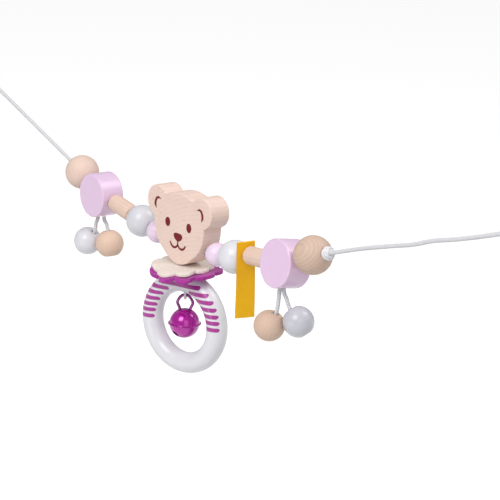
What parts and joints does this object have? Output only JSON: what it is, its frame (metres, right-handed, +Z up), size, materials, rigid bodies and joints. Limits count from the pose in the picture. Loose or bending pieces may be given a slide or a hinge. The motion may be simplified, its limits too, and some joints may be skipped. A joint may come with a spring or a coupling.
{
  "type": "pram chain",
  "caption": "Wooden pram chain: a flat animal head with felt collars, a ring and a jingle bell between lacquered and plain beads on a cord with sprung hooks.",
  "frame": {"origin": "where the left hook's bow bears on the bar that carries it", "axes": "+X along the chain towards the right hook, +Z up, the head's face towards -Y"},
  "size_m": [0.6342, 0.0444, 0.1753],
  "materials": {
    "beech": "fine sanded, waxed",
    "lacquer_pink": "satin lacquer",
    "lacquer_white": "satin lacquer",
    "cord_white": "braided",
    "felt_cream": "felt",
    "felt_magenta": "felt",
    "ribbon_yellow": "woven ribbon",
    "bell_magenta": "glossy",
    "hook_steel": "bright plated",
    "pellet_steel": "plain"
  },
  "bodies": {
    "chain": {"main_cord": "cord_white", "left_stop_knot": "cord_white", "left_free_cord": "cord_white", "left_hook_knot": "cord_white", "left_hook_loop": "cord_white", "left_hook": "hook_steel", "left_gate_pin": "hook_steel", "left_head_knot": "cord_white", "right_stop_knot": "cord_white", "right_free_cord": "cord_white", "right_hook_knot": "cord_white", "right_hook_loop": "cord_white", "right_hook": "hook_steel", "right_gate_pin": "hook_steel", "right_head_knot": "cord_white"},
    "left_gate": {"left_gate": "hook_steel"},
    "left_end_ball": {"left_end_ball": "beech"},
    "left_cylinder": {"left_cylinder": "lacquer_pink", "left_dangle_knot": "cord_white"},
    "left_white_dangle": {"left_white_dangle_ball": "lacquer_white", "left_white_dangle_cord": "cord_white"},
    "left_natural_dangle": {"left_natural_dangle_ball": "beech", "left_natural_dangle_cord": "cord_white"},
    "left_dowel": {"left_dowel": "beech"},
    "left_white_ball": {"left_white_ball": "lacquer_white"},
    "left_pink_ball": {"left_pink_ball": "lacquer_pink"},
    "right_gate": {"right_gate": "hook_steel"},
    "right_end_ball": {"right_end_ball": "beech"},
    "right_cylinder": {"right_cylinder": "lacquer_pink", "right_dangle_knot": "cord_white"},
    "right_natural_dangle": {"right_natural_dangle_ball": "beech", "right_natural_dangle_cord": "cord_white"},
    "right_white_dangle": {"right_white_dangle_ball": "lacquer_white", "right_white_dangle_cord": "cord_white"},
    "right_dowel": {"right_dowel": "beech"},
    "right_white_ball": {"right_white_ball": "lacquer_white"},
    "right_pink_ball": {"right_pink_ball": "lacquer_pink"},
    "label": {"label": "ribbon_yellow"},
    "head": {"head": "beech", "hanger_cord": "cord_white"},
    "collars": {"cream_collar": "felt_cream", "magenta_collar": "felt_magenta"},
    "ring": {"ring": "lacquer_white", "ring_knot": "cord_white"},
    "bell_cord_loop": {"bell_cord_loop": "cord_white"},
    "bell": {"bell_wire_loop": "bell_magenta", "bell_upper_shell": "bell_magenta", "bell_lower_shell": "bell_magenta"},
    "pellet": {"bell_pellet": "pellet_steel"}
  },
  "joints": [
    {"name": "left_gate_hinge", "type": "hinge", "parent": "chain", "child": "left_gate", "pos_m": [0.01885, 0, -0.01284], "axis": [0, 1, 0], "range_deg": [0, 30], "stiffness_Nm_per_rad": 0.002, "springref_deg": -28.65},
    {"name": "left_end_ball_spin", "type": "hinge", "parent": "chain", "child": "left_end_ball", "pos_m": [0.19478, 0, -0.06707], "axis": [-0.9266, 0, 0.376], "continuous": true},
    {"name": "left_cylinder_swing", "type": "hinge", "parent": "chain", "child": "left_cylinder", "pos_m": [0.21788, 0, -0.07507], "axis": [-0.9659, 0, 0.2588], "range_deg": [-45, 45]},
    {"name": "left_white_dangle_swing", "type": "hinge", "parent": "left_cylinder", "child": "left_white_dangle", "pos_m": [0.21678, -0.00036, -0.09117], "axis": [-0.309, 0.9511, 0], "range_deg": [0, 30]},
    {"name": "left_natural_dangle_swing", "type": "hinge", "parent": "left_cylinder", "child": "left_natural_dangle", "pos_m": [0.21897, 0.00036, -0.09117], "axis": [0.309, -0.9511, 0], "range_deg": [0, 30]},
    {"name": "left_dowel_spin", "type": "hinge", "parent": "chain", "child": "left_dowel", "pos_m": [0.25358, 0, -0.08247], "axis": [-0.9858, 0, 0.1679], "continuous": true},
    {"name": "left_white_ball_spin", "type": "hinge", "parent": "chain", "child": "left_white_ball", "pos_m": [0.26508, 0, -0.08437], "axis": [0.9861, 0.0006, -0.1662], "continuous": true},
    {"name": "left_pink_ball_spin", "type": "hinge", "parent": "chain", "child": "left_pink_ball", "pos_m": [0.28228, 0, -0.08737], "axis": [0.9873, -0.0265, -0.1565], "continuous": true},
    {"name": "right_gate_hinge", "type": "hinge", "parent": "chain", "child": "right_gate", "pos_m": [0.60864, 0, -0.01838], "axis": [0, -1, 0], "range_deg": [0, 30], "stiffness_Nm_per_rad": 0.002, "springref_deg": -28.65},
    {"name": "right_end_ball_spin", "type": "hinge", "parent": "chain", "child": "right_end_ball", "pos_m": [0.43118, 0, -0.06737], "axis": [0.9295, 0, 0.3687], "continuous": true},
    {"name": "right_cylinder_swing", "type": "hinge", "parent": "chain", "child": "right_cylinder", "pos_m": [0.40798, 0, -0.07557], "axis": [0.9659, 0, 0.2588], "range_deg": [-45, 45]},
    {"name": "right_natural_dangle_swing", "type": "hinge", "parent": "right_cylinder", "child": "right_natural_dangle", "pos_m": [0.40697, -0.0028, -0.09151], "axis": [-0.4848, 0.8746, 0], "range_deg": [0, 30]},
    {"name": "right_white_dangle_swing", "type": "hinge", "parent": "right_cylinder", "child": "right_white_dangle", "pos_m": [0.40898, -0.00168, -0.09151], "axis": [0.4848, -0.8746, 0], "range_deg": [0, 30]},
    {"name": "right_dowel_spin", "type": "hinge", "parent": "chain", "child": "right_dowel", "pos_m": [0.37338, 0, -0.08087], "axis": [0.9969, 0, 0.0793], "continuous": true},
    {"name": "right_white_ball_spin", "type": "hinge", "parent": "chain", "child": "right_white_ball", "pos_m": [0.36128, 0, -0.08487], "axis": [0.963, 0.0007, 0.2696], "continuous": true},
    {"name": "right_pink_ball_spin", "type": "hinge", "parent": "chain", "child": "right_pink_ball", "pos_m": [0.34378, 0, -0.08767], "axis": [0.9913, -0.0249, 0.1293], "continuous": true},
    {"name": "label_swing", "type": "hinge", "parent": "chain", "child": "label", "pos_m": [0.37207, 0, -0.08121], "axis": [0.9567, 0, 0.2912], "range_deg": [-45, 45]},
    {"name": "head_swing", "type": "hinge", "parent": "chain", "child": "head", "pos_m": [0.31298, 0, -0.08917], "axis": [0.9986, 0.0523, 0], "range_deg": [-60, 60]},
    {"name": "collars_spin", "type": "hinge", "parent": "head", "child": "collars", "pos_m": [0.31298, 0, -0.08917], "axis": [0, 0, 1], "continuous": true},
    {"name": "ring_swivel", "type": "hinge", "parent": "head", "child": "ring", "pos_m": [0.31298, 0, -0.08917], "axis": [0, 0, 1], "range_deg": [-90, 90]},
    {"name": "bell_loop_swing", "type": "hinge", "parent": "ring", "child": "bell_cord_loop", "pos_m": [0.31298, 0, -0.11807], "axis": [0.7071, 0.7071, 0], "range_deg": [-14, 14]},
    {"name": "bell_swing", "type": "hinge", "parent": "bell_cord_loop", "child": "bell", "pos_m": [0.31298, 0, -0.12217], "axis": [0.7071, -0.7071, 0], "range_deg": [-16, 16]},
    {"name": "pellet_roll", "type": "hinge", "parent": "bell", "child": "pellet", "pos_m": [0.31298, 0, -0.13787], "axis": [0.7071, 0.7071, 0], "range_deg": [-40, 40]}
  ]
}
